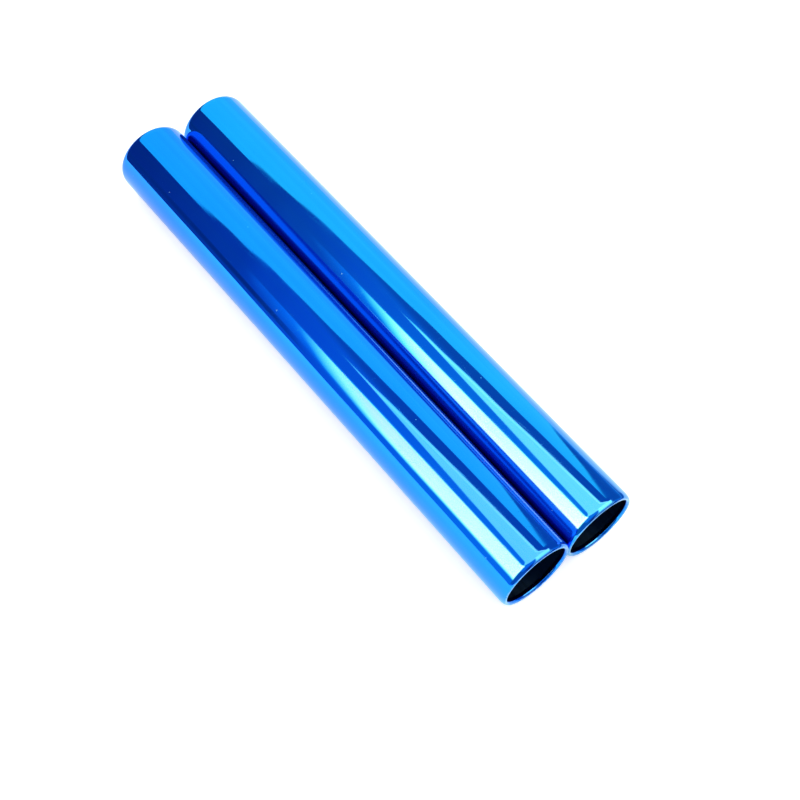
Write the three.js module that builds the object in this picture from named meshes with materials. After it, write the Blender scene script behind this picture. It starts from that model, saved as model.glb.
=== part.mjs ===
// Two athletics relay batons lying side by side on a level surface, each a one-piece aluminium
// tube, open right through, with both of its ends rolled inwards.
// Units are millimetres. X runs along the batons, Y from the left one to the right one, Z up,
// and the origin is on the surface under the middle of the pair.
import * as THREE from "three";

// One baton: its length over the rolled rims, its outside diameter and its tube's wall.
const BATON_LENGTH = 300;
const OUTSIDE_DIAMETER = 38;
const WALL = 0.8;

// The rim is the wall rolled inwards over a long shoulder into a bead, this thick from its
// outside to its bore, and run on as a hem that goes this far back from the bead's middle to its
// rounded cut edge. A baton stands on the flat ring along the bead's crest.
const RIM_THICKNESS = 2.6;
const SHOULDER_LENGTH = 3.5;
const HEM_LENGTH = 1.6;
const CREST_WIDTH = 0.45;

// The pair: the clearance between the two tubes, and how far the right one lies behind the left.
const PAIR_CLEARANCE = 0.3;
const PAIR_STAGGER = 1;

// Facets round the tube, a multiple of four so that it lies on a flat, and along each arc of its
// wall's section.
const TUBE_FACETS = 72;
const SHOULDER_FACETS = 5;
const BEAD_FACETS = 4;
const CURL_FACETS = 3;
const CUT_EDGE_FACETS = 4;

// The finish: drawn, polished and dyed a clear bright blue by anodising.
const BLUE = 0x1281e1;
const ROUGHNESS = 0.07;

const outerRadius = OUTSIDE_DIAMETER / 2;
const halfRim = RIM_THICKNESS / 2;
const cutEdgeRadius = WALL / 2;
const rightAngle = Math.PI / 2;

// The angle over which the crest's flat ring cuts off the top of the bead.
const crestAngle = Math.asin(CREST_WIDTH / 2 / halfRim);

// The middle of a facet lies nearer the axis than its corners, by this ratio.
const tubeFlatRatio = Math.cos(Math.PI / TUBE_FACETS);

// Points along an arc of the section, from one angle to another, both ends included. Its reach
// is x across and y along the tube.
function arc(centre, reach, from, to, facets) {
  const clockwise = to < from;
  const curve = new THREE.EllipseCurve(centre.x, centre.y, reach.x, reach.y, from, to, clockwise);
  return curve.getPoints(facets);
}

// One end of the wall's section, where x is the distance from the axis and y the place along it:
// over the shoulder and the bead from the outside, round the hem's cut edge, and back inside the
// curl to the bore. The shoulder and the bead share the crest, and the curl runs a wall inside.
function rolledEnd() {
  const shoulderReach = new THREE.Vector2(halfRim, SHOULDER_LENGTH);
  const beadReach = new THREE.Vector2(halfRim, halfRim);
  const cutEdgeReach = new THREE.Vector2(cutEdgeRadius, cutEdgeRadius);
  const shoulderCurlReach = shoulderReach.clone().subScalar(WALL);
  const beadCurlReach = beadReach.clone().subScalar(WALL);

  const crest = new THREE.Vector2(outerRadius - halfRim, BATON_LENGTH / 2);
  const shoulder = new THREE.Vector2(crest.x, crest.y - SHOULDER_LENGTH * Math.cos(crestAngle));
  const bead = new THREE.Vector2(crest.x, crest.y - halfRim * Math.cos(crestAngle));
  const cutEdge = new THREE.Vector2(
    bead.x - halfRim + cutEdgeRadius,
    bead.y - HEM_LENGTH + cutEdgeRadius,
  );
  return [
    ...arc(shoulder, shoulderReach, 0, rightAngle - crestAngle, SHOULDER_FACETS),
    ...arc(bead, beadReach, rightAngle + crestAngle, Math.PI, BEAD_FACETS),
    ...arc(cutEdge, cutEdgeReach, Math.PI, 2 * Math.PI, CUT_EDGE_FACETS),
    ...arc(bead, beadCurlReach, Math.PI, rightAngle, CURL_FACETS),
    ...arc(shoulder, shoulderCurlReach, rightAngle, 0, CURL_FACETS).slice(1),
  ];
}

// The wall's whole section: one rolled end, its mirror image, and the first point again.
function wallSection() {
  const nearEnd = rolledEnd();
  const farEnd = nearEnd.map((point) => new THREE.Vector2(point.x, -point.y)).reverse();
  return [...nearEnd, ...farEnd, nearEnd[0].clone()];
}

// The section turned round the axis, half a facet on and with its flats on the true radius, so
// that a flat faces straight down and another the next baton, and then laid along X.
function batonGeometry() {
  const geometry = new THREE.LatheGeometry(wallSection(), TUBE_FACETS, Math.PI / TUBE_FACETS);
  geometry.scale(1 / tubeFlatRatio, 1, 1 / tubeFlatRatio);
  geometry.rotateZ(-Math.PI / 2);
  return geometry;
}

// A baton on the surface, on the left of the pair where side is -1 and on the right where it is 1.
function baton(name, side) {
  const anodisedAluminium = new THREE.MeshStandardMaterial({
    color: BLUE,
    roughness: ROUGHNESS,
    metalness: 1,
  });
  const mesh = new THREE.Mesh(batonGeometry(), anodisedAluminium);
  mesh.name = name;
  mesh.position.x = (-side * PAIR_STAGGER) / 2;
  mesh.position.y = (side * (OUTSIDE_DIAMETER + PAIR_CLEARANCE)) / 2;
  mesh.position.z = outerRadius;
  return mesh;
}

const batonPair = new THREE.Group();
batonPair.add(baton("left_baton", -1), baton("right_baton", 1));

export default batonPair;
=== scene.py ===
# Two polished blue relay batons lying side by side on a white studio floor.
# Every length is in metres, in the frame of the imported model: X along the batons, Z up.
import math

import bpy
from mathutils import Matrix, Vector


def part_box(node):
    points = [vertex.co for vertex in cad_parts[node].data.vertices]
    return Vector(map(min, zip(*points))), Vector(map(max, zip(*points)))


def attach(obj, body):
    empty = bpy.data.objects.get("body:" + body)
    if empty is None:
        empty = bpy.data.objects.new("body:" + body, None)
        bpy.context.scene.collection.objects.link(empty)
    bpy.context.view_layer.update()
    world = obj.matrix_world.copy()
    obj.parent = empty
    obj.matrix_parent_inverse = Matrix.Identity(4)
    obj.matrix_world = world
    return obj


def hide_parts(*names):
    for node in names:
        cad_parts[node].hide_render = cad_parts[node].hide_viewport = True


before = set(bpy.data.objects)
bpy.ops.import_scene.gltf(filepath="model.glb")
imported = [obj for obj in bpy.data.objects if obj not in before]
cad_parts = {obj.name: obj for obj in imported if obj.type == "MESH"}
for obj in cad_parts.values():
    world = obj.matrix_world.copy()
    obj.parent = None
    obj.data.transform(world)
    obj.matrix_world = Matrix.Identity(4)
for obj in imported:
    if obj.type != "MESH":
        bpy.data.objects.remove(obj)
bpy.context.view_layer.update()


# The batons. Each is one drawn aluminium tube whose two ends are rolled inwards, over a long
# shoulder, into a round bead that runs on as a short hem inside the bore. Nothing is fixed to it.
# A tube is drawn out here ring by ring, from its outside over both rims and into its bore.
AXIS_HEIGHT = (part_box("left_baton")[1][2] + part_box("left_baton")[0][2]) / 2
WALL = 0.0008
RIM_THICKNESS = 0.0026
SHOULDER_LENGTH = 0.0035
HEM_LENGTH = 0.0016
SUPPORT = 0.0006
SAME_PLACE = 0.00001
ROUND_STEPS = 256
SHOULDER_STEPS = 18
BEAD_STEPS = 10
CUT_EDGE_STEPS = 6

# Each colour of dye is given where it took least and where it took most.
DYES = {
    "left_baton": ((0.012, 0.198, 0.87), (0.008, 0.168, 0.92)),
    "right_baton": ((0.020, 0.246, 0.84), (0.012, 0.208, 0.90)),
}
# The bore's colours are the dye darkened with painted shade, for the shade deep inside the tube.
BORE_DYE_AND_PAINTED_SHADE = ((0.003, 0.012, 0.040), (0.008, 0.030, 0.090))
RUBBED_METAL = (0.60, 0.56, 0.88)
DUST_COLOUR = (0.10, 0.35, 0.80)
CLOUDS_PER_METRE = 18
DYE_BASE = -0.9
DYE_IN_CLOUDS = 1.3
DYE_IN_BANDS = 1.5
COAT = 0.22
COAT_ROUGHNESS = 0.04

# Marks are given as their turn from the tube's axis in degrees, how many there are to the metre
# along them, and how many across them. SHOWS says where in its noise a mark begins and is full.
DRAWN_LINES = (0, 4, 1500)
DRAWN_BANDS = (0, 2, 220)
SCRATCHES = ((6, 25, 1300), (-11, 40, 1600), (64, 90, 1500))
SCRATCH_SHOWS = (0.72, 0.82)
SMUDGES = (25, 40, 70)
SMUDGE_SHOWS = (0.50, 0.78)
FLECKS_PER_METRE = 24
FLECK_REACH = 0.00045
FLECK_CORE = 0.00015
FLECK_COVER = 0.5
WORN_REACH = 0.0009
CHIPS_PER_METRE = 700
RUB_SHOWS = (0.30, 0.60)
RUB_MOST = 0.42

# The finish's roughness, what each kind of mark adds to it, and how deep the relief is.
POLISHED = 0.05
SOFTER_IN_A_REFLECTION = 0.15
SMUDGED = 0.05
SCRATCHED = 0.12
DUSTED = 0.3
RUBBED = 0.25
AS_DRAWN = 0.35
DRAWN_UNEVEN = 0.25
WAVE_DEPTH = 0.0004
GRAIN_DEPTH = 0.0000015
BORE_GRAIN_DEPTH = 0.00001


def arc(middle, reach, start, stop, steps):
    """Places along an arc, as (along the axis, across from it); a right angle is at the crest."""
    places = []
    for step in range(steps + 1):
        angle = math.radians(start + (stop - start) * step / steps)
        along = middle[0] + reach[0] * math.sin(angle)
        across = middle[1] + reach[1] * math.cos(angle)
        places.append((along, across))
    return places


def end_sections(end, outside):
    """The wall's section at one end: over the shoulder and bead, round the hem's cut edge, and
    back inside the curl to the bore."""
    half_rim = RIM_THICKNESS / 2
    cut_radius = WALL / 2
    curl = half_rim - WALL
    across = outside - half_rim
    shoulder = (end - SHOULDER_LENGTH, across)
    bead = (end - half_rim, across)
    cut_edge = (end - half_rim - HEM_LENGTH + cut_radius, outside - RIM_THICKNESS + cut_radius)
    straight = end - SHOULDER_LENGTH - SUPPORT

    sections = [(straight, outside)]
    sections += arc(shoulder, (SHOULDER_LENGTH, half_rim), 0, 90, SHOULDER_STEPS)
    sections += arc(bead, (half_rim, half_rim), 90, 180, BEAD_STEPS)[1:]
    sections += arc(cut_edge, (cut_radius, cut_radius), 180, 360, CUT_EDGE_STEPS)
    sections += arc(bead, (curl, curl), 180, 90, BEAD_STEPS // 2)
    sections += arc(shoulder, (SHOULDER_LENGTH - WALL, curl), 90, 0, SHOULDER_STEPS // 2)[1:]
    sections += [(straight, outside - WALL)]
    return sections


def select_rings(tube, centre, places):
    """Selects the rings at these places: (distance from the tube's middle, from its axis)."""
    bpy.ops.mesh.select_mode(type="EDGE")
    bpy.ops.mesh.select_all(action="DESELECT")
    bpy.ops.object.mode_set(mode="OBJECT")
    mesh = tube.data
    for edge in mesh.edges:
        offsets = [mesh.vertices[index].co - centre for index in edge.vertices]
        edge.select = any(
            all(
                abs(offset.x - along) < SAME_PLACE
                and abs(math.hypot(offset.y, offset.z) - across) < SAME_PLACE
                for offset in offsets
            )
            for along, across in places
        )
    bpy.ops.object.mode_set(mode="EDIT")


def draw_out_end(tube, centre, side, sections):
    """Extrudes one open end of the tube from section to section, over the rim and into the bore."""
    along, across = sections[0]
    select_rings(tube, centre, [(side * along, across)])
    for next_along, next_across in sections[1:]:
        shift = (side * (next_along - along), 0, 0)
        bpy.ops.mesh.extrude_edges_move(TRANSFORM_OT_translate={"value": shift})
        shrink = next_across / across
        bpy.ops.transform.resize(value=(1, shrink, shrink), center_override=centre)
        along, across = next_along, next_across


def make_tube(node):
    """One baton's tube, as long and as thick as its CAD node."""
    low, high = (Vector(corner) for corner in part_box(node))
    centre = (low + high) / 2
    end = (high.x - low.x) / 2
    outside = (high.z - low.z) / 2
    sections = end_sections(end, outside)

    bpy.ops.object.select_all(action="DESELECT")
    bpy.ops.mesh.primitive_cylinder_add(
        vertices=ROUND_STEPS,
        radius=outside,
        depth=2 * sections[0][0],
        end_fill_type="NOTHING",
        location=centre,
        rotation=(0, math.pi / 2, 0),
    )
    tube = bpy.context.object
    tube.name = node + "_tube"
    bpy.ops.object.transform_apply(location=True, rotation=True, scale=True)

    bpy.ops.object.mode_set(mode="EDIT")
    for side in (-1, 1):
        draw_out_end(tube, centre, side, sections)
    along, across = sections[-1]
    select_rings(tube, centre, [(-along, across), (along, across)])
    bpy.ops.mesh.bridge_edge_loops()
    bpy.ops.mesh.select_all(action="SELECT")
    bpy.ops.mesh.remove_doubles(threshold=SAME_PLACE / 4)
    bpy.ops.mesh.normals_make_consistent(inside=False)
    bpy.ops.object.mode_set(mode="OBJECT")
    bpy.ops.object.shade_smooth()

    cut_edge = end - RIM_THICKNESS / 2 - HEM_LENGTH
    for face in tube.data.polygons:
        x, y, z = face.center - centre
        in_bore = abs(x) < cut_edge and math.hypot(y, z) < outside - WALL / 2
        face.material_index = 1 if in_bore else 0

    crest = tube.data.attributes.new("crest", "FLOAT", "POINT")
    for vertex, rise in zip(tube.data.vertices, crest.data):
        from_end = end - abs((vertex.co - centre).x)
        rise.value = max(0, 1 - from_end / WORN_REACH)
    return tube


def unrolled_surface(nodes, links, axis_y):
    """A tube's surface as a flat sheet: metres along it, and metres round it from its top."""
    place = nodes.new("ShaderNodeTexCoord")
    split = nodes.new("ShaderNodeSeparateXYZ")
    across = nodes.new("ShaderNodeMath")
    across.operation = "SUBTRACT"
    above = nodes.new("ShaderNodeMath")
    above.operation = "SUBTRACT"
    above.inputs[1].default_value = AXIS_HEIGHT
    angle = nodes.new("ShaderNodeMath")
    angle.operation = "ARCTAN2"
    arc_length = nodes.new("ShaderNodeMath")
    arc_length.operation = "MULTIPLY"
    arc_length.inputs[1].default_value = AXIS_HEIGHT
    sheet = nodes.new("ShaderNodeCombineXYZ")
    links.new(place.outputs["Object"], split.inputs[0])
    links.new(split.outputs["Y"], across.inputs[0])
    links.new(axis_y, across.inputs[1])
    links.new(split.outputs["Z"], above.inputs[0])
    links.new(across.outputs[0], angle.inputs[0])
    links.new(above.outputs[0], angle.inputs[1])
    links.new(angle.outputs[0], arc_length.inputs[0])
    links.new(split.outputs["X"], sheet.inputs["X"])
    links.new(arc_length.outputs[0], sheet.inputs["Y"])
    return sheet.outputs[0]


def streaks(nodes, links, surface, turn, marks_along, marks_across):
    """Long thin marks on an unrolled surface, so many to the metre, turned from the tube's axis."""
    stretch = nodes.new("ShaderNodeMapping")
    stretch.vector_type = "TEXTURE"
    stretch.inputs["Rotation"].default_value = (0, 0, math.radians(turn))
    stretch.inputs["Scale"].default_value = (1 / marks_along, 1 / marks_across, 1)
    noise = nodes.new("ShaderNodeTexNoise")
    noise.noise_dimensions = "2D"
    noise.inputs["Scale"].default_value = 1
    noise.inputs["Detail"].default_value = 3
    links.new(surface, stretch.inputs["Vector"])
    links.new(stretch.outputs[0], noise.inputs["Vector"])
    return noise.outputs["Fac"]


def drawn_lines_group():
    """The fine lines that the die leaves along a drawn tube, and the wider bands they gather in."""
    group = bpy.data.node_groups.new("drawn_lines", "ShaderNodeTree")
    group.interface.new_socket("Axis Y", in_out="INPUT", socket_type="NodeSocketFloat")
    group.interface.new_socket("Lines", in_out="OUTPUT", socket_type="NodeSocketFloat")
    group.interface.new_socket("Bands", in_out="OUTPUT", socket_type="NodeSocketFloat")
    nodes, links = group.nodes, group.links
    given = nodes.new("NodeGroupInput")
    result = nodes.new("NodeGroupOutput")
    surface = unrolled_surface(nodes, links, given.outputs["Axis Y"])
    links.new(streaks(nodes, links, surface, *DRAWN_LINES), result.inputs["Lines"])
    links.new(streaks(nodes, links, surface, *DRAWN_BANDS), result.inputs["Bands"])
    return group


def handling_marks_group():
    """What hands and kit bags leave: fine scratches, dull smudges and specks of dust."""
    group = bpy.data.node_groups.new("handling_marks", "ShaderNodeTree")
    group.interface.new_socket("Axis Y", in_out="INPUT", socket_type="NodeSocketFloat")
    group.interface.new_socket("Scratches", in_out="OUTPUT", socket_type="NodeSocketFloat")
    group.interface.new_socket("Smudges", in_out="OUTPUT", socket_type="NodeSocketFloat")
    group.interface.new_socket("Dust", in_out="OUTPUT", socket_type="NodeSocketFloat")
    nodes, links = group.nodes, group.links
    given = nodes.new("NodeGroupInput")
    result = nodes.new("NodeGroupOutput")
    surface = unrolled_surface(nodes, links, given.outputs["Axis Y"])

    all_scratches = None
    for turn, marks_along, marks_across in SCRATCHES:
        marks = streaks(nodes, links, surface, turn, marks_along, marks_across)
        deepest = nodes.new("ShaderNodeMapRange")
        deepest.inputs["From Min"].default_value = SCRATCH_SHOWS[0]
        deepest.inputs["From Max"].default_value = SCRATCH_SHOWS[1]
        links.new(marks, deepest.inputs["Value"])
        if all_scratches is None:
            all_scratches = deepest.outputs[0]
            continue
        both = nodes.new("ShaderNodeMath")
        both.operation = "MAXIMUM"
        links.new(all_scratches, both.inputs[0])
        links.new(deepest.outputs[0], both.inputs[1])
        all_scratches = both.outputs[0]
    links.new(all_scratches, result.inputs["Scratches"])

    touches = streaks(nodes, links, surface, *SMUDGES)
    dull = nodes.new("ShaderNodeMapRange")
    dull.inputs["From Min"].default_value = SMUDGE_SHOWS[0]
    dull.inputs["From Max"].default_value = SMUDGE_SHOWS[1]
    links.new(touches, dull.inputs["Value"])
    links.new(dull.outputs[0], result.inputs["Smudges"])

    flecks = nodes.new("ShaderNodeTexVoronoi")
    flecks.voronoi_dimensions = "2D"
    flecks.inputs["Scale"].default_value = FLECKS_PER_METRE
    speck = nodes.new("ShaderNodeMapRange")
    speck.inputs["From Min"].default_value = FLECKS_PER_METRE * FLECK_REACH
    speck.inputs["From Max"].default_value = FLECKS_PER_METRE * FLECK_CORE
    links.new(surface, flecks.inputs["Vector"])
    links.new(flecks.outputs["Distance"], speck.inputs["Value"])
    links.new(speck.outputs[0], result.inputs["Dust"])
    return group


def place_group(material, group, axis_y):
    """Puts a group of marks into a material, for the tube whose axis lies at this Y."""
    node = material.node_tree.nodes.new("ShaderNodeGroup")
    node.node_tree = group
    node.inputs["Axis Y"].default_value = axis_y
    return node


def scaled_sum(material, base, *parts):
    """A plain value plus each mask times its own share."""
    nodes, links = material.node_tree.nodes, material.node_tree.links
    total = base
    for mask, share in parts:
        step = nodes.new("ShaderNodeMath")
        step.operation = "MULTIPLY_ADD"
        step.inputs[1].default_value = share
        links.new(mask, step.inputs[0])
        if total is base:
            step.inputs[2].default_value = base
        else:
            links.new(total, step.inputs[2])
        total = step.outputs[0]
    return total


def bump(material, height, depth, under=None):
    """The surface's normal with this relief on it, on top of any relief given as under."""
    node = material.node_tree.nodes.new("ShaderNodeBump")
    node.inputs["Distance"].default_value = depth
    material.node_tree.links.new(height, node.inputs["Height"])
    if under is not None:
        material.node_tree.links.new(under, node.inputs["Normal"])
    return node.outputs[0]


def anodised_aluminium(name, axis_y, thin_dye, full_dye):
    """Drawn, polished like a mirror and dyed, with the dye rubbed thin on the rims' crests."""
    material = bpy.data.materials.new(name)
    material.use_nodes = True
    nodes, links = material.node_tree.nodes, material.node_tree.links
    shader = nodes["Principled BSDF"]
    shader.inputs["Metallic"].default_value = 1
    shader.inputs["Coat Weight"].default_value = COAT
    shader.inputs["Coat Roughness"].default_value = COAT_ROUGHNESS
    lines = place_group(material, drawn_lines, axis_y)
    marks = place_group(material, handling_marks, axis_y)

    place = nodes.new("ShaderNodeTexCoord")
    cloud = nodes.new("ShaderNodeTexNoise")
    cloud.inputs["Scale"].default_value = CLOUDS_PER_METRE
    cloud.inputs["Detail"].default_value = 1
    dye = nodes.new("ShaderNodeMix")
    dye.data_type = "RGBA"
    dye.inputs["A"].default_value = (*thin_dye, 1)
    dye.inputs["B"].default_value = (*full_dye, 1)
    links.new(place.outputs["Object"], cloud.inputs["Vector"])
    dye_taken = scaled_sum(
        material, DYE_BASE,
        (cloud.outputs["Fac"], DYE_IN_CLOUDS),
        (lines.outputs["Bands"], DYE_IN_BANDS),
    )
    links.new(dye_taken, dye.inputs["Factor"])

    crest = nodes.new("ShaderNodeAttribute")
    crest.attribute_name = "crest"
    chips = nodes.new("ShaderNodeTexNoise")
    chips.inputs["Scale"].default_value = CHIPS_PER_METRE
    rubbed = nodes.new("ShaderNodeMath")
    rubbed.operation = "MULTIPLY"
    worn = nodes.new("ShaderNodeMapRange")
    worn.inputs["From Min"].default_value = RUB_SHOWS[0]
    worn.inputs["From Max"].default_value = RUB_SHOWS[1]
    worn.inputs["To Max"].default_value = RUB_MOST
    bare = nodes.new("ShaderNodeMix")
    bare.data_type = "RGBA"
    bare.inputs["B"].default_value = (*RUBBED_METAL, 1)
    links.new(place.outputs["Object"], chips.inputs["Vector"])
    links.new(crest.outputs["Fac"], rubbed.inputs[0])
    links.new(chips.outputs["Fac"], rubbed.inputs[1])
    links.new(rubbed.outputs[0], worn.inputs["Value"])
    links.new(worn.outputs[0], bare.inputs["Factor"])
    links.new(dye.outputs["Result"], bare.inputs["A"])

    dusty = nodes.new("ShaderNodeMix")
    dusty.data_type = "RGBA"
    dusty.inputs["B"].default_value = (*DUST_COLOUR, 1)
    dust_cover = scaled_sum(material, 0, (marks.outputs["Dust"], FLECK_COVER))
    links.new(dust_cover, dusty.inputs["Factor"])
    links.new(bare.outputs["Result"], dusty.inputs["A"])
    links.new(dusty.outputs["Result"], shader.inputs["Base Color"])

    # One baton looks a little softer in the other's reflection than it does when seen directly.
    path = nodes.new("ShaderNodeLightPath")
    dullness = scaled_sum(
        material, POLISHED,
        (path.outputs["Is Glossy Ray"], SOFTER_IN_A_REFLECTION),
        (marks.outputs["Smudges"], SMUDGED),
        (marks.outputs["Scratches"], SCRATCHED),
        (marks.outputs["Dust"], DUSTED),
        (worn.outputs[0], RUBBED),
    )
    links.new(dullness, shader.inputs["Roughness"])
    waves = bump(material, cloud.outputs["Fac"], WAVE_DEPTH)
    grain = scaled_sum(material, 0, (lines.outputs["Lines"], 1), (marks.outputs["Scratches"], -1))
    links.new(bump(material, grain, GRAIN_DEPTH, waves), shader.inputs["Normal"])
    return material


def bore_aluminium():
    """The inside of a tube, dyed too and left satin as drawn, its dye darkened with painted shade.
    """
    material = bpy.data.materials.new("bore_aluminium")
    material.use_nodes = True
    nodes, links = material.node_tree.nodes, material.node_tree.links
    shader = nodes["Principled BSDF"]
    shader.inputs["Metallic"].default_value = 1
    lines = place_group(material, drawn_lines, 0)
    # The bore's dye, darkened with painted shade.
    dye = nodes.new("ShaderNodeMix")
    dye.data_type = "RGBA"
    dye.inputs["A"].default_value = (*BORE_DYE_AND_PAINTED_SHADE[0], 1)
    dye.inputs["B"].default_value = (*BORE_DYE_AND_PAINTED_SHADE[1], 1)
    dullness = scaled_sum(material, AS_DRAWN, (lines.outputs["Lines"], DRAWN_UNEVEN))
    grain = bump(material, lines.outputs["Lines"], BORE_GRAIN_DEPTH)
    links.new(lines.outputs["Lines"], dye.inputs["Factor"])
    links.new(dye.outputs["Result"], shader.inputs["Base Color"])
    links.new(dullness, shader.inputs["Roughness"])
    links.new(grain, shader.inputs["Normal"])
    return material


drawn_lines = drawn_lines_group()
handling_marks = handling_marks_group()
inner_material = bore_aluminium()
for node, (thin_dye, full_dye) in DYES.items():
    low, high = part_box(node)
    outer_material = anodised_aluminium(node + "_blue", (low[1] + high[1]) / 2, thin_dye, full_dye)
    baton = make_tube(node)
    baton.data.materials.append(outer_material)
    baton.data.materials.append(inner_material)
    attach(baton, node)
    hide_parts(node)


# The floor: a wide sheet of white paper, whose edge on the left shows in the batons' reflections.
# The metal sees it glow with a painted light, brighter towards the front left, and with a painted
# shadow close under a baton. A reflection that has gone to and fro between the batons comes back
# fainter each time.
FLOOR_SIZE = 12
FLOOR_DROP = 0.0002
PAPER_EDGE = -0.30
EDGE_BLUR = 0.01
PAPER_WHITE = 0.95
WHITE_TO_CAMERA = 0.43
# The colour of the painted light that the metal sees on the paper.
SHINE = (0.115, 1, 0.58)
CLOSE = 0.05
# The shine rises from its first level to its second between two places along this direction.
FRONT_LEFT = (1, -2.5, 0)
LIGHT_GROWS = (-0.03, 0.35)
SHINE_LEVELS = (0.35, 1.2)
KEPT_EACH_BOUNCE = 0.45
KEPT_BEFORE_CLAMP = 4.7


def light_left(nodes, links):
    """The share of its light that a reflection keeps: all at first, then less at each bounce."""
    bounces = nodes.new("ShaderNodeLightPath")
    power = nodes.new("ShaderNodeMath")
    power.operation = "POWER"
    power.inputs[0].default_value = KEPT_EACH_BOUNCE
    share = nodes.new("ShaderNodeMath")
    share.operation = "MULTIPLY"
    share.inputs[1].default_value = KEPT_BEFORE_CLAMP
    share.use_clamp = True
    links.new(bounces.outputs["Glossy Depth"], power.inputs[1])
    links.new(power.outputs[0], share.inputs[0])
    return share.outputs[0]


bpy.ops.object.select_all(action="DESELECT")
bpy.ops.mesh.primitive_plane_add(size=FLOOR_SIZE, location=(0, 0, -FLOOR_DROP))
floor = bpy.context.object
floor.name = "floor"
bpy.ops.object.transform_apply(location=True, rotation=True, scale=True)
paper = bpy.data.materials.new("white_paper")
paper.use_nodes = True
nodes, links = paper.node_tree.nodes, paper.node_tree.links
nodes.clear()
light_path = nodes.new("ShaderNodeLightPath")
place = nodes.new("ShaderNodeTexCoord")
split = nodes.new("ShaderNodeSeparateXYZ")
links.new(place.outputs["Object"], split.inputs[0])

sheet = nodes.new("ShaderNodeBsdfDiffuse")
sheet.inputs["Color"].default_value = (PAPER_WHITE, PAPER_WHITE, PAPER_WHITE, 1)
white = nodes.new("ShaderNodeEmission")
camera_level = nodes.new("ShaderNodeMath")
camera_level.operation = "MULTIPLY"
camera_level.inputs[1].default_value = WHITE_TO_CAMERA
links.new(light_path.outputs["Is Camera Ray"], camera_level.inputs[0])
links.new(camera_level.outputs[0], white.inputs["Strength"])

# A painted light on the paper that only the metal sees, brighter towards the front left, with a
# painted shadow close under a baton.
shine = nodes.new("ShaderNodeEmission")
shine.inputs["Color"].default_value = (*SHINE, 1)
front_left = nodes.new("ShaderNodeVectorMath")
front_left.operation = "DOT_PRODUCT"
front_left.inputs[1].default_value = FRONT_LEFT
painted_light_pool = nodes.new("ShaderNodeMapRange")
painted_light_pool.inputs["From Min"].default_value = LIGHT_GROWS[0]
painted_light_pool.inputs["From Max"].default_value = LIGHT_GROWS[1]
painted_light_pool.inputs["To Min"].default_value = SHINE_LEVELS[0]
painted_light_pool.inputs["To Max"].default_value = SHINE_LEVELS[1]
painted_shadow_ao = nodes.new("ShaderNodeAmbientOcclusion")
painted_shadow_ao.inputs["Distance"].default_value = CLOSE
open_shine = nodes.new("ShaderNodeMath")
open_shine.operation = "MULTIPLY"
seen_shine = nodes.new("ShaderNodeMath")
seen_shine.operation = "MULTIPLY"
left_over = nodes.new("ShaderNodeMath")
left_over.operation = "MULTIPLY"
links.new(place.outputs["Object"], front_left.inputs[0])
links.new(front_left.outputs["Value"], painted_light_pool.inputs["Value"])
links.new(painted_light_pool.outputs[0], open_shine.inputs[0])
links.new(painted_shadow_ao.outputs["AO"], open_shine.inputs[1])
links.new(open_shine.outputs[0], left_over.inputs[0])
links.new(light_left(nodes, links), left_over.inputs[1])
links.new(left_over.outputs[0], seen_shine.inputs[0])
links.new(light_path.outputs["Is Glossy Ray"], seen_shine.inputs[1])
links.new(seen_shine.outputs[0], shine.inputs["Strength"])

lit = nodes.new("ShaderNodeAddShader")
bright = nodes.new("ShaderNodeAddShader")
links.new(sheet.outputs[0], lit.inputs[0])
links.new(white.outputs[0], lit.inputs[1])
links.new(lit.outputs[0], bright.inputs[0])
links.new(shine.outputs[0], bright.inputs[1])

past_edge = nodes.new("ShaderNodeMapRange")
past_edge.inputs["From Min"].default_value = PAPER_EDGE + EDGE_BLUR
past_edge.inputs["From Max"].default_value = PAPER_EDGE - EDGE_BLUR
hidden = nodes.new("ShaderNodeMath")
hidden.operation = "MULTIPLY"
clear = nodes.new("ShaderNodeBsdfTransparent")
cut = nodes.new("ShaderNodeMixShader")
out = nodes.new("ShaderNodeOutputMaterial")
links.new(split.outputs["Y"], past_edge.inputs["Value"])
links.new(past_edge.outputs[0], hidden.inputs[0])
links.new(light_path.outputs["Is Glossy Ray"], hidden.inputs[1])
links.new(hidden.outputs[0], cut.inputs["Fac"])
links.new(bright.outputs[0], cut.inputs[1])
links.new(clear.outputs[0], cut.inputs[2])
links.new(cut.outputs[0], out.inputs["Surface"])
floor.data.materials.append(paper)


# The studio's boards and boxes, which show as the stripes along the batons. Each is a sheet that
# glows from one level at its far end to another at its near one, and fades out over its own soft
# border. Only the polished metal sees them.
OPAQUE_FROM = 0.6

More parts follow.
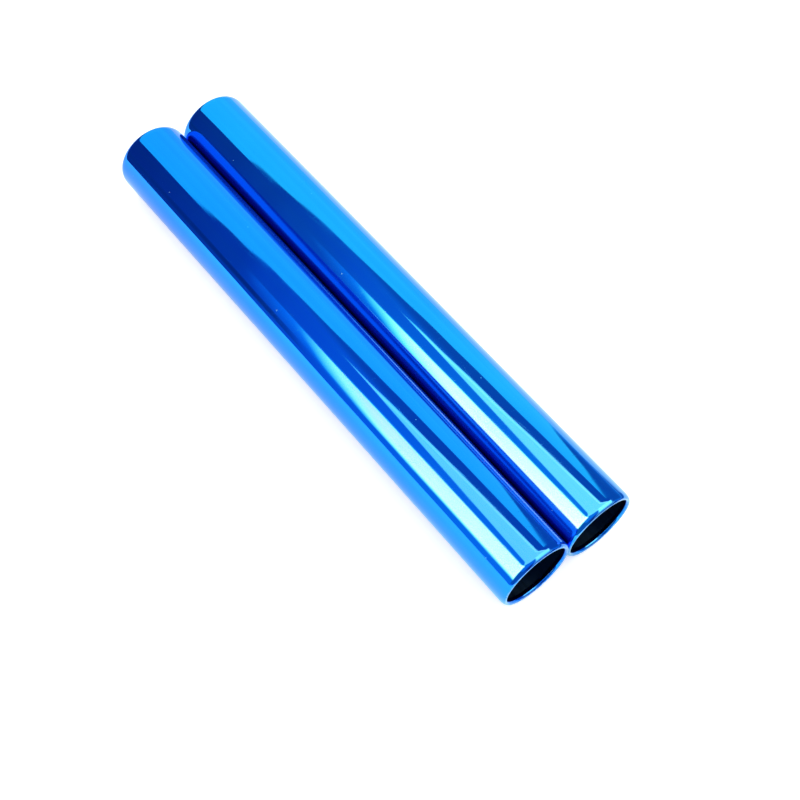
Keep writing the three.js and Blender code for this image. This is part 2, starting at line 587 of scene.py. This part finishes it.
# A row holds the board's name, the glow of its border, far end and near end, the border's width,
# and the corners.
BOARDS = (
    (
        "dark_board",
        (0.05, 0.40, 0.67), (0.04, 0.235, 0.47), (0.05, 0.26, 0.48),
        0.45,
        (
            (0.9, 2.59, 0.0), (0.9, -0.35, 3.32), (-0.9, -0.35, 2.30), (-1.1, 0.3, 1.456),
            (-0.6, 1.84, 0.0),
        ),
    ),
    (
        "dark_strip",
        (0.03, 0.16, 0.32), (0.02, 0.09, 0.20), (0.02, 0.10, 0.24),
        0.08,
        ((-0.45, -0.91, 0.08), (-1.4, -0.91, 0.08), (-1.4, -0.91, 0.42), (-0.50, -0.91, 0.34)),
    ),
    (
        "dark_sheet",
        (0.05, 0.33, 0.58), (0.05, 0.31, 0.53), (0.05, 0.29, 0.50),
        0.05,
        (
            (0.105, 0.15, 0.0005), (0.055, 0.30, 0.0005), (-0.12, 0.86, 0.0005),
            (-0.6, 1.84, 0.0005), (0.9, 2.59, 0.0005), (0.9, 0.15, 0.0005),
        ),
    ),
    (
        "front_board",
        (0.05, 0.35, 0.50), (0.05, 0.35, 0.50), (0.05, 0.35, 0.50),
        0.05,
        ((0.22, -1.0, 0.0), (0.22, -1.0, 0.9), (1.4, -0.5, 0.9), (1.4, -0.5, 0.0)),
    ),
    (
        "white_wall",
        (0.3, 1.8, 1.2), (0.25, 1.85, 1.2), (0.45, 1.82, 1.2),
        0.03,
        (
            (-0.405, 1.66, 0.0), (-0.355, 1.51, 0.20), (-0.295, 1.36, 0.39), (-0.215, 1.175, 0.65),
            (-0.175, 0.995, 0.88), (-0.155, 0.875, 1.015), (-0.39, 0.69, 1.09),
            (-0.525, 0.56, 1.155), (-0.69, 0.375, 1.275), (-0.845, 0.21, 1.375),
            (-0.96, 0.04, 1.495), (-1.03, -0.06, 1.58), (-1.29, -0.37, 1.78), (-1.63, -0.82, 2.08),
            (-1.90, -0.90, 2.03), (-2.3, -0.6, 1.5), (-2.2, 0.755, 0.0),
        ),
    ),
    (
        "wall_foot",
        (0.28, 1.70, 1.18), (0.25, 1.45, 1.15), (0.35, 1.45, 1.15),
        0.4,
        (
            (-0.30, 1.09, 0.63), (-2.18, 0.14, 0.63), (-2.18, 1.02, -0.37), (-0.30, 1.97, -0.37),
        ),
    ),
    (
        "overhead_box",
        (1.5, 3.0, 1.5), (4.8, 3.2, 1.3), (5.8, 3.15, 1.2),
        0.05,
        (
            (-0.51, -0.185, 1.1), (0.40, 1.29, 1.1), (0.38, 0.12, 1.1), (0.28, -0.30, 1.1),
            (0.10, -0.69, 1.1),
        ),
    ),
    (
        "overhead_edge",
        (1.5, 3.0, 1.5), (5.5, 3.8, 1.5), (17.0, 4.3, 1.6),
        0.05,
        ((-0.51, -0.185, 1.095), (0.40, 1.29, 1.095), (0.50, 1.23, 1.095), (-0.41, -0.25, 1.095)),
    ),
    (
        "near_box",
        (4.0, 3.6, 2.0), (10.0, 4.6, 2.5), (7.0, 4.4, 2.2),
        0.1,
        ((0.16, 0.00, 1.09), (0.16, 1.28, 1.09), (0.82, 1.33, 1.09), (0.87, 0.00, 1.09)),
    ),
    (
        "front_room",
        (0.2, 0.45, 0.70), (1.6, 1.30, 0.85), (1.6, 1.00, 0.75),
        0.25,
        ((0.40, -0.10, 1.12), (0.40, 1.90, 1.12), (2.6, 2.80, 1.12), (2.6, -0.60, 1.12)),
    ),
    (
        "box_haze",
        (0.05, 0.55, 0.90), (0.05, 0.55, 1.15), (0.05, 1.60, 0.85),
        0.18,
        (
            (-0.38, -0.905, 0.12), (-0.56, -0.905, 0.34), (-0.86, -0.905, 1.00),
            (-0.56, -0.905, 1.42), (-0.25, -0.905, 1.62), (0.25, -0.905, 1.90),
            (0.25, -0.905, 0.12),
        ),
    ),
    (
        "side_box",
        (0.1, 6.3, 1.5), (14.5, 3.8, 1.7), (47.0, 7.2, 1.7),
        0.16,
        (
            (-0.34, -0.9, 0.18), (-0.45, -0.9, 0.335), (-0.72, -0.9, 0.985),
            (-0.455, -0.9, 1.225), (-0.255, -0.9, 1.36), (0.27, -0.9, 1.695), (0.27, -0.9, 0.18),
        ),
    ),
)


def make_board(name, border_glow, far_glow, near_glow, border, corners):
    """One glowing sheet, whose attribute "fade" rises from 0 at its outline to 1 inside."""
    bpy.ops.object.select_all(action="DESELECT")
    bpy.ops.mesh.primitive_circle_add(vertices=len(corners), fill_type="NGON")
    board = bpy.context.object
    board.name = name
    for vertex, corner in zip(board.data.vertices, corners):
        vertex.co = corner
    bpy.ops.object.mode_set(mode="EDIT")
    bpy.ops.mesh.select_all(action="SELECT")
    bpy.ops.mesh.inset(thickness=border, depth=0)
    bpy.ops.object.mode_set(mode="OBJECT")
    fade = board.data.attributes.new("fade", "FLOAT", "POINT")
    centre = sum((Vector(corner) for corner in corners), Vector()) / len(corners)
    middle = min(board.data.polygons, key=lambda face: (face.center - centre).length)
    for index in middle.vertices:
        fade.data[index].value = 1

    material = bpy.data.materials.new(name)
    material.use_nodes = True
    nodes, links = material.node_tree.nodes, material.node_tree.links
    nodes.clear()
    border_fade = nodes.new("ShaderNodeAttribute")
    border_fade.attribute_name = "fade"
    cover = nodes.new("ShaderNodeMapRange")
    cover.inputs["From Max"].default_value = OPAQUE_FROM
    place = nodes.new("ShaderNodeTexCoord")
    split = nodes.new("ShaderNodeSeparateXYZ")
    nearness = nodes.new("ShaderNodeMapRange")
    nearness.inputs["From Min"].default_value = min(corner[0] for corner in corners)
    nearness.inputs["From Max"].default_value = max(corner[0] for corner in corners)
    strength = max(*border_glow, *far_glow, *near_glow)
    along = nodes.new("ShaderNodeMix")
    along.data_type = "RGBA"
    along.inputs["A"].default_value = (*(level / strength for level in far_glow), 1)
    along.inputs["B"].default_value = (*(level / strength for level in near_glow), 1)
    colour = nodes.new("ShaderNodeMix")
    colour.data_type = "RGBA"
    colour.inputs["A"].default_value = (*(level / strength for level in border_glow), 1)
    clear = nodes.new("ShaderNodeBsdfTransparent")
    light = nodes.new("ShaderNodeEmission")
    level = nodes.new("ShaderNodeMath")
    level.operation = "MULTIPLY"
    level.inputs[1].default_value = strength
    mix = nodes.new("ShaderNodeMixShader")
    out = nodes.new("ShaderNodeOutputMaterial")
    links.new(border_fade.outputs["Fac"], cover.inputs["Value"])
    links.new(cover.outputs["Result"], mix.inputs["Fac"])
    links.new(place.outputs["Object"], split.inputs[0])
    links.new(split.outputs["X"], nearness.inputs["Value"])
    links.new(nearness.outputs["Result"], along.inputs["Factor"])
    links.new(border_fade.outputs["Fac"], colour.inputs["Factor"])
    links.new(along.outputs["Result"], colour.inputs["B"])
    links.new(colour.outputs["Result"], light.inputs["Color"])
    links.new(light_left(nodes, links), level.inputs[0])
    links.new(level.outputs[0], light.inputs["Strength"])
    links.new(clear.outputs[0], mix.inputs[1])
    links.new(light.outputs[0], mix.inputs[2])
    links.new(mix.outputs[0], out.inputs["Surface"])
    board.data.materials.append(material)
    board.visible_camera = False
    board.visible_diffuse = False
    board.visible_shadow = False


for board_row in BOARDS:
    make_board(*board_row)


# The room beyond, which is white behind the floor, lights it evenly, and shows in the polished
# metal as a blue-grey studio that darkens towards both of its ends.
ROOM_LEVEL = 0.9
EVEN_LEVEL = 1.15
ROOM_COLOURS = (
    (0.30, (0.06, 0.70, 0.90)),
    (0.40, (0.05, 0.49, 0.82)),
    (0.482, (0.04, 0.31, 0.67)),
    (0.54, (0.03, 0.175, 0.41)),
    (0.62, (0.03, 0.094, 0.235)),
)
world = bpy.data.worlds.new("studio")
bpy.context.scene.world = world
world.use_nodes = True
nodes, links = world.node_tree.nodes, world.node_tree.links
nodes.clear()
direction = nodes.new("ShaderNodeTexCoord")
split = nodes.new("ShaderNodeSeparateXYZ")
reach = nodes.new("ShaderNodeMath")
reach.operation = "ABSOLUTE"
ramp = nodes.new("ShaderNodeValToRGB")
for share_of_x, colour in ROOM_COLOURS[1:-1]:
    ramp.color_ramp.elements.new(share_of_x)
for element, (share_of_x, colour) in zip(ramp.color_ramp.elements, ROOM_COLOURS):
    element.position = share_of_x
    element.color = (*(level / ROOM_LEVEL for level in colour), 1)
path = nodes.new("ShaderNodeLightPath")
room = nodes.new("ShaderNodeBackground")
room_level = nodes.new("ShaderNodeMath")
room_level.operation = "MULTIPLY"
room_level.inputs[1].default_value = ROOM_LEVEL
even = nodes.new("ShaderNodeBackground")
even.inputs["Color"].default_value = (1, 1, 1, 1)
even.inputs["Strength"].default_value = EVEN_LEVEL
backdrop = nodes.new("ShaderNodeBackground")
backdrop.inputs["Color"].default_value = (1, 1, 1, 1)
metal_sees = nodes.new("ShaderNodeMixShader")
camera_sees = nodes.new("ShaderNodeMixShader")
out = nodes.new("ShaderNodeOutputWorld")
links.new(direction.outputs["Generated"], split.inputs[0])
links.new(split.outputs["X"], reach.inputs[0])
links.new(reach.outputs[0], ramp.inputs[0])
links.new(ramp.outputs["Color"], room.inputs["Color"])
links.new(light_left(nodes, links), room_level.inputs[0])
links.new(room_level.outputs[0], room.inputs["Strength"])
links.new(path.outputs["Is Glossy Ray"], metal_sees.inputs["Fac"])
links.new(even.outputs[0], metal_sees.inputs[1])
links.new(room.outputs[0], metal_sees.inputs[2])
links.new(path.outputs["Is Camera Ray"], camera_sees.inputs["Fac"])
links.new(metal_sees.outputs[0], camera_sees.inputs[1])
links.new(backdrop.outputs[0], camera_sees.inputs[2])
links.new(camera_sees.outputs[0], out.inputs["Surface"])


# The camera, past the batons' near ends, above them and to their left. Its place, turn and lens
# are those that fit the outlines of both tubes and of their near mouths in the photograph.
bpy.ops.object.camera_add(
    location=(0.2807, -0.2499, 0.5182),
    rotation=tuple(math.radians(angle) for angle in (33.704, -4.480, 51.179)),
)
camera = bpy.context.object
camera.data.lens = 58.455
camera.data.sensor_width = 36
bpy.context.scene.camera = camera
bpy.context.scene.view_settings.view_transform = "Standard"
